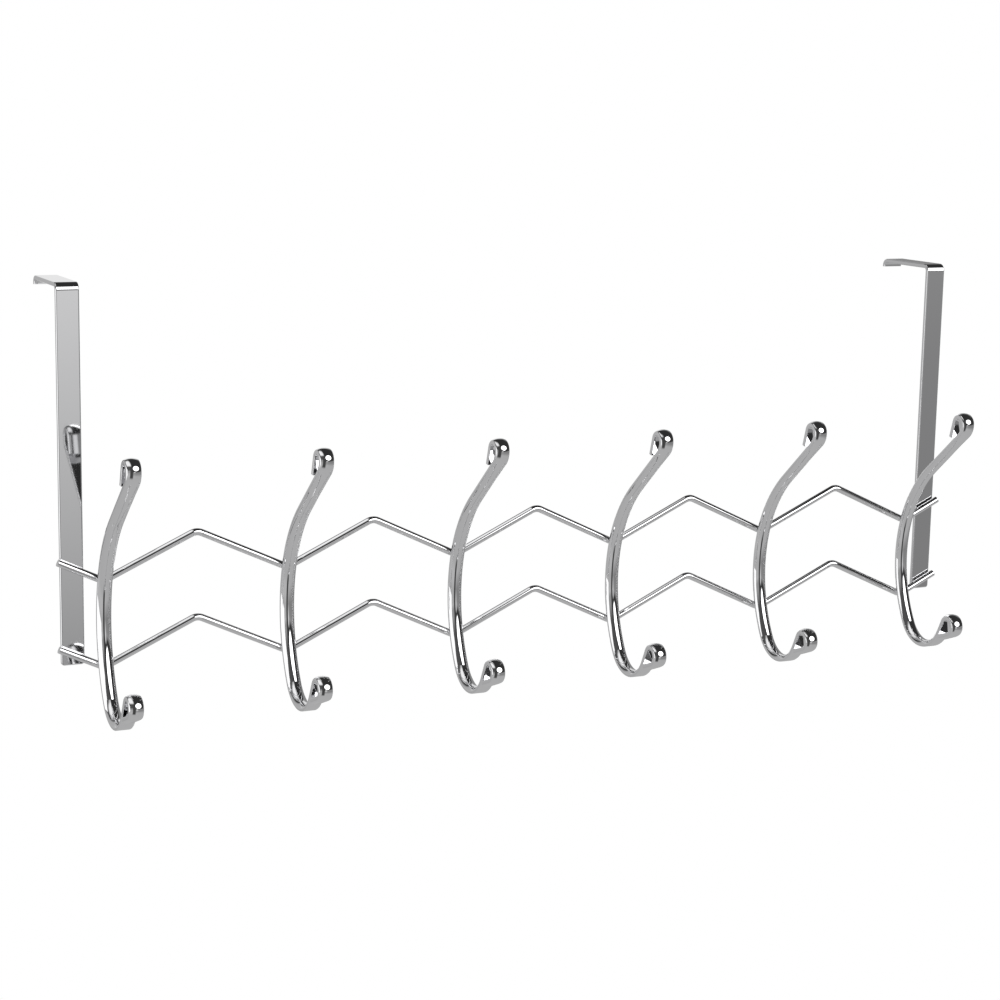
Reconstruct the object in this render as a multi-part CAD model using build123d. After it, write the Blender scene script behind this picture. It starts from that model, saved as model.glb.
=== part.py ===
from build123d import *
import math
import os

# Over-door hook rack: two flat straps hang over the top edge of a door and carry two
# zigzag wires, and six double hooks bent from half-round rod are welded across the wires.
# Millimetres. Origin midway between the straps, at the door's top edge and its front face.
# +X runs along the door, +Y goes into the door and +Z is up.

# Straps
door_gap = 39.0
strap_width = 11.2
strap_thickness = 2.2
strap_edge_round = 0.6
strap_bend_radius = 1.5
strap_corner_radius = 1.5
lip_drop = 2.2
strap_tail = 0.6

# Zigzag wires
wire_diameter = 3.5
wire_bend_radius = 6.0
zigzag_rise = 21.2
wire_spacing = 42.0
upper_wire_drop = 139.2
wire_overhang = 1.5

# Places along the rack
hook_spacing = 90.0
outer_hook_spacing = 92.0
strap_from_outer_hook = 14.6

# Half-round rod of the hooks: flat back, upright edges, crowned front, flattened at both tips
rod_width = 7.2
rod_edge = 1.4
rod_crown = 2.1
tip_edge = 2.2
tip_crown = 0.9
front_round = 0.9
back_round = 0.5

# Bends of a hook, measured on the flat back face, from the upper tip down
tip_run = 9.0
tip_splay = 16.0
curl_radius = 2.7
brow_radius = 6.5
neck_lean = 50.0
neck_run = 34.8
neck_taper_run = 20.0
body_radius = 70.0
j_radius = 19.0
j_drop = 23.8
rise_angle = 60.5
rise_run = 9.6
loop_radius = 3.2
return_angle = 159.0

# Clearances left for the weld beads and at the closed lower tip
weld_gap = 0.06
tip_gap = 0.15

# Derived places
wire_radius = wire_diameter / 2
wire_y = -(strap_thickness + wire_radius + weld_gap)
right_hooks = [hook_spacing / 2, hook_spacing * 3 / 2, hook_spacing * 3 / 2 + outer_hook_spacing]
outer_hook_x = right_hooks[-1]
hook_places = [-x for x in reversed(right_hooks)] + right_hooks
strap_x = outer_hook_x + strap_from_outer_hook
wire_end_x = strap_x + strap_width / 2 + wire_overhang
zigzag_slope = zigzag_rise / (hook_spacing / 2)
zigzag_angle = math.atan(zigzag_slope)
upper_valley_z = -upper_wire_drop
lower_valley_z = upper_valley_z - wire_spacing
wires_middle_z = (upper_valley_z + lower_valley_z) / 2
rise_at_strap = (strap_from_outer_hook - strap_width / 2) * zigzag_slope
wire_half_height = wire_radius / math.cos(zigzag_angle)
strap_bottom_z = lower_valley_z + rise_at_strap - wire_half_height - strap_tail


def door_strap(x):
    """One round-edged flat strap: front leg, plate over the door, and a short lip behind it."""
    outer_y = door_gap + strap_thickness
    inside = FilletPolyline(
        (0, 0, strap_bottom_z),
        (0, 0, 0),
        (0, door_gap, 0),
        (0, door_gap, -lip_drop),
        radius=strap_bend_radius,
    )
    outside = FilletPolyline(
        (0, -strap_thickness, strap_bottom_z),
        (0, -strap_thickness, strap_thickness),
        (0, outer_y, strap_thickness),
        (0, outer_y, -lip_drop),
        radius=strap_bend_radius + strap_thickness,
    )
    ends = [Line(inside @ 0, outside @ 0), Line(inside @ 1, outside @ 1)]
    profile = make_face([*inside.edges(), *outside.edges(), *ends])
    strap = extrude(profile, amount=strap_width / 2, dir=(1, 0, 0), both=True)
    bottom_corners = strap.edges().filter_by(Axis.Y).sort_by(Axis.Z)[:2]
    strap = fillet(bottom_corners, strap_corner_radius)
    # Each upright edge carries its rounding on round the bends, along the plate and the foot.
    upright_edges = strap.faces().filter_by(Axis.X).edges().filter_by(Axis.Z)
    return Pos(x, 0, 0) * fillet(upright_edges, strap_edge_round)


def zigzag_wire(valley_z):
    """One wire bent up and down between the hooks, with its ends across the straps."""
    end_z = valley_z + (wire_end_x - outer_hook_x) * zigzag_slope
    points = [(-wire_end_x, wire_y, end_z), (hook_places[0], wire_y, valley_z)]
    for left, right in zip(hook_places, hook_places[1:]):
        points.append(((left + right) / 2, wire_y, valley_z + zigzag_rise))
        points.append((right, wire_y, valley_z))
    points.append((wire_end_x, wire_y, end_z))
    path = FilletPolyline(*points, radius=wire_bend_radius)
    start = Plane(origin=path @ 0, z_dir=path % 0)
    return sweep(start * Circle(wire_radius), path=path)


def rod_section(edge, crown):
    """Half-round section: flat back on the local X axis, crowned front towards local +Y."""
    half = rod_width / 2
    outline = [
        Line((-half, 0), (half, 0)),
        Line((half, 0), (half, edge)),
        ThreePointArc((half, edge), (0, edge + crown), (-half, edge)),
        Line((-half, edge), (-half, 0)),
    ]
    section = make_face([line.edge() for line in outline])
    section = fillet(section.vertices().sort_by(Axis.Y)[:2], back_round)
    return fillet(section.vertices().sort_by(Axis.Y)[-2:], front_round)


def unit(heading):
    """The direction of a heading in degrees, in a hook's side view."""
    return Vector(1, 0, 0).rotate(Axis.Z, heading)


class BackFace:
    """A hook's back face in side view: X is forward from the door and Y is up.

    It is drawn as straight runs and bends, each bend turning to a new heading.
    """

    def __init__(self, heading):
        self.end = Vector(0, 0, 0)
        self.heading = heading
        self.edges = []

    def run(self, length):
        line = Line(self.end, self.end + unit(self.heading) * length)
        self.edges.append(line.edge())
        self.end = line @ 1

    def bend(self, radius, heading):
        arc = JernArc(self.end, unit(self.heading), radius, heading - self.heading)
        self.edges.append(arc.edge())
        self.end = arc @ 1
        self.heading = heading

    def run_to_line(self, point, line_heading, gap):
        """Runs straight on until it is a gap short of a line."""
        normal = unit(line_heading + 90)
        away = (self.end - point).dot(normal)
        self.run((abs(away) - gap) / abs(unit(self.heading).dot(normal)))

    def stretch(self):
        """Everything drawn since the last stretch, as one wire."""
        drawn = Wire(self.edges)
        self.edges = []
        return drawn


def across(route, at):
    """The plane square to a route at its start (0) or end (1), front side towards local +Y."""
    return Plane(origin=route @ at, x_dir=(0, 0, -1), z_dir=route % at)


def wire_rise_at_rod_edge():
    """How far a wire climbs from the bottom of its bend to the edge of the rod's flat back."""
    half = rod_width / 2 - back_round
    bend_half = wire_bend_radius * math.sin(zigzag_angle)
    if half < bend_half:
        return wire_bend_radius - math.sqrt(wire_bend_radius**2 - half**2)
    bend_rise = wire_bend_radius * (1 - math.cos(zigzag_angle))
    return bend_rise + (half - bend_half) * zigzag_slope


def double_hook():
    """One hook at X = 0: rolled upper tip, leaning neck, body arc, J and closed lower loop."""
    # The body arc rests on the upper wire at the bottom of that wire's bend, and on the
    # lower wire where it climbs past the edges of the rod's flat back.
    bend_lift = wire_bend_radius * (1 / math.cos(zigzag_angle) - 1)
    upper_touch = wire_spacing / 2 + bend_lift
    lower_touch = -wire_spacing / 2 + bend_lift + wire_rise_at_rod_edge()
    body_height = (upper_touch + lower_touch) / 2
    centre_to_wire = body_radius + wire_radius + weld_gap
    body_forward = math.sqrt(centre_to_wire**2 - ((upper_touch - lower_touch) / 2) ** 2)
    j_bottom = -wire_spacing / 2 - j_drop
    body_below = math.asin((body_height - j_bottom - j_radius) / (body_radius - j_radius))

    back = BackFace(90 - tip_splay)
    back.run(tip_run)
    back.bend(curl_radius, -90)
    back.bend(brow_radius, -90 - neck_lean)
    upper_tip = back.stretch()
    back.run(neck_taper_run)
    upper_taper = back.stretch()
    back.run(neck_run - neck_taper_run)
    back.bend(body_radius, -90 + math.degrees(body_below))
    body_centre = back.edges[-1].arc_center
    back.bend(j_radius, rise_angle)
    rise_foot = back.end
    body = back.stretch()
    back.run(rise_run)
    lower_taper = back.stretch()
    back.bend(loop_radius, -return_angle)
    back.run_to_line(rise_foot, rise_angle, tip_gap)
    lower_tip = back.stretch()

    flat = rod_section(tip_edge, tip_crown)
    round_front = rod_section(rod_edge, rod_crown)
    rod = sweep(across(body, 0) * round_front, path=body)
    rod += loft([across(upper_taper, 0) * flat, across(upper_taper, 1) * round_front])
    rod += loft([across(lower_taper, 0) * round_front, across(lower_taper, 1) * flat])
    rod += sweep(across(upper_tip, 0) * flat, path=upper_tip)
    rod += sweep(across(lower_tip, 0) * flat, path=lower_tip)
    rod = Pos(body_forward - body_centre.X, body_height - body_centre.Y, 0) * rod
    wires = Plane(origin=(0, wire_y, wires_middle_z), x_dir=(0, -1, 0), z_dir=(-1, 0, 0))
    return wires * rod


os.makedirs("parts", exist_ok=True)
export_step(door_strap(-strap_x), "parts/left_door_strap.step")
export_step(door_strap(strap_x), "parts/right_door_strap.step")
export_step(zigzag_wire(upper_valley_z), "parts/upper_zigzag_wire.step")
export_step(zigzag_wire(lower_valley_z), "parts/lower_zigzag_wire.step")
hook = double_hook()
for number, hook_x in enumerate(hook_places, start=1):
    export_step(Pos(hook_x, 0, 0) * hook, f"parts/hook_{number}.step")
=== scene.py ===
import math

import bpy
from mathutils import Matrix, Vector


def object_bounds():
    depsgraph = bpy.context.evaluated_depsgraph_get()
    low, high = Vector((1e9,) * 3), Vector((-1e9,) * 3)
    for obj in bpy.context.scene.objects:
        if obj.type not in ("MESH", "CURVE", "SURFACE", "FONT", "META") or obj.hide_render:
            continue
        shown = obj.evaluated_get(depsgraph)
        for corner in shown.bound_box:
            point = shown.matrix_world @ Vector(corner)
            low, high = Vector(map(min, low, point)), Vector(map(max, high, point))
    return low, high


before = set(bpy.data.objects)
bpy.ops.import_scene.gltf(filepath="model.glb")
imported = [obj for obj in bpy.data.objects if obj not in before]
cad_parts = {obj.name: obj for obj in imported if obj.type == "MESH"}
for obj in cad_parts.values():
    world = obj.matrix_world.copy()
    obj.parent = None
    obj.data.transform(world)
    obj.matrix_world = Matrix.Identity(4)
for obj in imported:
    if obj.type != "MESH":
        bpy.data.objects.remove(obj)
cad_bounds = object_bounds()

# The photo's camera, in the row frame: metres and degrees, with its lens and sensor in millimetres
CAMERA_PLACE = (-0.5043, -1.0419, 0.0985)
CAMERA_YAW = 24.99
CAMERA_PITCH = 10.46
CAMERA_ROLL = 1.06
CAMERA_LENS = 82.35
CAMERA_SENSOR = 36.0

# Chrome: a tint and a roughness, which varies by a share of itself over the surface
STRAPS = ("left_door_strap", "right_door_strap")
STRAP_TINT = (0.80, 0.80, 0.81)
STRAP_ROUGHNESS = 0.05
BRIGHT_TINT = (0.86, 0.86, 0.87)
BRIGHT_ROUGHNESS = 0.03
POLISH_SCALE = 55.0
POLISH_SHARE = 0.3

# The studio seen in the chrome. Each list runs along one part of a ray's direction, from -1 to 1:
# width is to the right, depth is into the door and height is up. The room's list gives a grey
# at each stop, and the others say how strongly a light or dark area covers it there.
ROOM_HEIGHT = [
    (-1.0, 0.46),
    (-0.5, 0.44),
    (-0.28, 0.24),
    (-0.12, 0.26),
    (-0.07, 0.30),
    (0.0, 0.04),
    (1.0, 0.03),
]
BACKDROP_GREY = 0.26
BACKDROP_DEPTH = [(0.25, 0.0), (0.45, 1.0)]
BACKDROP_HEIGHT = [(-0.4, 0.0), (-0.2, 1.0), (0.45, 1.0), (0.6, 0.0)]
BRIGHT_BACKDROP_GREY = 0.85
BRIGHT_BACKDROP_WIDTH = [(-0.15, 0.3), (0.05, 1.0), (0.36, 1.0), (0.52, 0.0)]
LEFT_WALL_GREY = 1.0
LEFT_WALL_WIDTH = [(-0.12, 1.0), (0.0, 0.0)]
LEFT_WALL_DEPTH = [(0.3, 1.0), (0.6, 0.25)]
LEFT_WALL_HEIGHT = [(-0.6, 0.0), (-0.4, 0.25), (0.1, 0.3), (0.3, 0.05), (0.7, 0.05), (0.86, 1.0)]
CAMERA_SIDE_DEPTH = [(-0.8, 1.0), (-0.65, 0.0)]
FRONT_GLOW_GREY = 0.72
FRONT_GLOW_WIDTH = [(0.14, 0.0), (0.2, 1.0), (0.3, 1.0), (0.45, 0.0)]
FRONT_GLOW_HEIGHT = [(-0.28, 0.1), (-0.09, 1.0), (0.0, 1.0), (0.06, 0.0)]
DARK_STRIP_GREY = 0.06
DARK_STRIP_WIDTH = [(-0.26, 0.0), (-0.2, 1.0), (0.06, 1.0), (0.14, 0.0)]
KEY_STRENGTH = 3.0
KEY_DIRECTION = (0.45, -0.79, 0.42)
KEY_DISC = [(0.935, 0.0), (0.943, 1.0)]

# The floor and the card beside the rack, in metres
FLOOR_DROP = 0.40
FLOOR_SIZE = 12.0
FLOOR_GLOW = 1.0
LEFT_CARD_PLACE = (-0.64, -0.22, -0.10)
LEFT_CARD_LENGTH = 0.70
LEFT_CARD_HEIGHT = 0.45
LEFT_CARD_GLOW = 1.2


def node_tree(owner):
    """The emptied nodes and links of a material or a world."""
    owner.use_nodes = True
    owner.node_tree.nodes.clear()
    return owner.node_tree.nodes, owner.node_tree.links


def chrome(name, tint, roughness):
    """Polished chrome plate, a little uneven in its polish."""
    material = bpy.data.materials.new(name)
    nodes, links = node_tree(material)
    out = nodes.new("ShaderNodeOutputMaterial")
    shader = nodes.new("ShaderNodeBsdfPrincipled")
    links.new(shader.outputs["BSDF"], out.inputs["Surface"])
    shader.inputs["Base Color"].default_value = (*tint, 1)
    shader.inputs["Metallic"].default_value = 1.0
    place = nodes.new("ShaderNodeTexCoord")
    polish = nodes.new("ShaderNodeTexNoise")
    polish.inputs["Scale"].default_value = POLISH_SCALE
    links.new(place.outputs["Object"], polish.inputs["Vector"])
    spread = nodes.new("ShaderNodeMapRange")
    spread.inputs["To Min"].default_value = roughness * (1 - POLISH_SHARE)
    spread.inputs["To Max"].default_value = roughness * (1 + POLISH_SHARE)
    links.new(polish.outputs["Fac"], spread.inputs["Value"])
    links.new(spread.outputs["Result"], shader.inputs["Roughness"])
    return material


def dress(node, material):
    """Gives a CAD node its finish."""
    node.data.materials.clear()
    node.data.materials.append(material)


class Studio:
    """Nodes that paint the room that the chrome reflects, by the direction of a ray."""

    def __init__(self, nodes, links):
        self.nodes = nodes
        self.links = links
        direction = nodes.new("ShaderNodeTexCoord")
        self.direction = direction.outputs["Generated"]
        axes = nodes.new("ShaderNodeSeparateXYZ")
        links.new(self.direction, axes.inputs["Vector"])
        self.width, self.depth, self.height = axes.outputs

    def ramp(self, value, stops):
        """A number for each value from -1 to 1, straight between (value, number) stops."""
        fit = self.nodes.new("ShaderNodeMapRange")
        fit.inputs["From Min"].default_value = -1.0
        self.links.new(value, fit.inputs["Value"])
        ramp = self.nodes.new("ShaderNodeValToRGB")
        elements = ramp.color_ramp.elements
        while len(elements) < len(stops):
            elements.new(0.5)
        for element, (at, number) in zip(elements, stops):
            element.position = (at + 1) / 2
            element.color = (number, number, number, 1)
        self.links.new(fit.outputs["Result"], ramp.inputs["Fac"])
        return ramp.outputs["Color"]

    def both(self, first, second):
        """Where two areas overlap."""
        product = self.nodes.new("ShaderNodeMath")
        product.operation = "MULTIPLY"
        self.links.new(first, product.inputs[0])
        self.links.new(second, product.inputs[1])
        return product.outputs["Value"]

    def toward(self, direction):
        """How closely a ray points in one direction, 1 when exactly."""
        dot = self.nodes.new("ShaderNodeVectorMath")
        dot.operation = "DOT_PRODUCT"
        dot.inputs[1].default_value = Vector(direction).normalized()
        self.links.new(self.direction, dot.inputs[0])
        return dot.outputs["Value"]

    def over(self, mask, below, grey):
        """Paints a grey over what is below, as strongly as the mask says."""
        mix = self.nodes.new("ShaderNodeMix")
        mix.data_type = "RGBA"
        self.links.new(mask, mix.inputs["Factor"])
        self.links.new(below, mix.inputs["A"])
        mix.inputs["B"].default_value = (grey, grey, grey, 1)
        return mix.outputs["Result"]


def room_greys(studio):
    """A pale floor, dark overhead, a backdrop behind, white at the left and a round key light."""
    width, depth, height = studio.width, studio.depth, studio.height
    room = studio.ramp(height, ROOM_HEIGHT)

    backdrop = studio.both(studio.ramp(depth, BACKDROP_DEPTH), studio.ramp(height, BACKDROP_HEIGHT))
    room = studio.over(backdrop, room, BACKDROP_GREY)
    bright_backdrop = studio.both(backdrop, studio.ramp(width, BRIGHT_BACKDROP_WIDTH))
    room = studio.over(bright_backdrop, room, BRIGHT_BACKDROP_GREY)

    left_wall = studio.both(studio.ramp(width, LEFT_WALL_WIDTH), studio.ramp(height, LEFT_WALL_HEIGHT))
    left_wall = studio.both(left_wall, studio.ramp(depth, LEFT_WALL_DEPTH))
    room = studio.over(left_wall, room, LEFT_WALL_GREY)

    camera_side = studio.ramp(depth, CAMERA_SIDE_DEPTH)
    front_glow = studio.both(studio.ramp(width, FRONT_GLOW_WIDTH), studio.ramp(height, FRONT_GLOW_HEIGHT))
    room = studio.over(studio.both(front_glow, camera_side), room, FRONT_GLOW_GREY)
    dark_strip = studio.both(camera_side, studio.ramp(width, DARK_STRIP_WIDTH))
    room = studio.over(dark_strip, room, DARK_STRIP_GREY)

    key_light = studio.ramp(studio.toward(KEY_DIRECTION), KEY_DISC)
    return studio.over(key_light, room, KEY_STRENGTH)


def studio_world():
    """White to the camera, and the studio's room to everything else."""
    world = bpy.data.worlds.new("studio")
    bpy.context.scene.world = world
    nodes, links = node_tree(world)
    room = room_greys(Studio(nodes, links))
    out = nodes.new("ShaderNodeOutputWorld")
    mix = nodes.new("ShaderNodeMixShader")
    rays = nodes.new("ShaderNodeLightPath")
    seen = nodes.new("ShaderNodeBackground")
    seen.inputs["Color"].default_value = (1, 1, 1, 1)
    reflected = nodes.new("ShaderNodeBackground")
    links.new(room, reflected.inputs["Color"])
    links.new(rays.outputs["Is Camera Ray"], mix.inputs["Fac"])
    links.new(reflected.outputs["Background"], mix.inputs[1])
    links.new(seen.outputs["Background"], mix.inputs[2])
    links.new(mix.outputs["Shader"], out.inputs["Surface"])


def glow(name, strength):
    """A plain white light of one strength."""
    material = bpy.data.materials.new(name)
    nodes, links = node_tree(material)
    out = nodes.new("ShaderNodeOutputMaterial")
    light = nodes.new("ShaderNodeEmission")
    light.inputs["Color"].default_value = (1, 1, 1, 1)
    light.inputs["Strength"].default_value = strength
    links.new(light.outputs["Emission"], out.inputs["Surface"])
    return material


def pale_floor(low):
    """A white floor below the rack, seen by the camera and not in the chrome."""
    bpy.ops.mesh.primitive_plane_add(size=FLOOR_SIZE, location=(0, 0, low - FLOOR_DROP))
    floor = bpy.context.object
    floor.name = "floor"
    floor.data.materials.append(glow("floor_white", FLOOR_GLOW))
    floor.visible_glossy = False
    floor.visible_diffuse = False
    floor.visible_shadow = False


def left_card():
    """A soft white card to the left, seen only in the chrome."""
    facing_right = (0, math.pi / 2, 0)
    bpy.ops.mesh.primitive_plane_add(size=1.0, location=LEFT_CARD_PLACE, rotation=facing_right)
    card = bpy.context.object
    card.name = "left_card"
    card.scale = (LEFT_CARD_HEIGHT, LEFT_CARD_LENGTH, 1)
    card.data.materials.append(glow("card_white", LEFT_CARD_GLOW))
    card.visible_camera = False


def photo_camera():
    """The camera that took the photo, as recovered from it."""
    camera = bpy.data.cameras.new("photo_camera")
    camera.lens = CAMERA_LENS
    camera.sensor_width = CAMERA_SENSOR
    holder = bpy.data.objects.new("photo_camera", camera)
    bpy.context.scene.collection.objects.link(holder)
    turn = Matrix.Rotation(-math.radians(CAMERA_YAW), 4, "Z")
    tilt = Matrix.Rotation(math.radians(90 - CAMERA_PITCH), 4, "X")
    roll = Matrix.Rotation(math.radians(CAMERA_ROLL), 4, "Z")
    holder.matrix_world = Matrix.Translation(CAMERA_PLACE) @ turn @ tilt @ roll
    bpy.context.scene.camera = holder


strap_chrome = chrome("strap_chrome", STRAP_TINT, STRAP_ROUGHNESS)
bright_chrome = chrome("bright_chrome", BRIGHT_TINT, BRIGHT_ROUGHNESS)
for name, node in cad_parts.items():
    dress(node, strap_chrome if name in STRAPS else bright_chrome)

studio_world()
pale_floor(cad_bounds[0].z)
left_card()
photo_camera()
bpy.context.scene.view_settings.view_transform = "Standard"
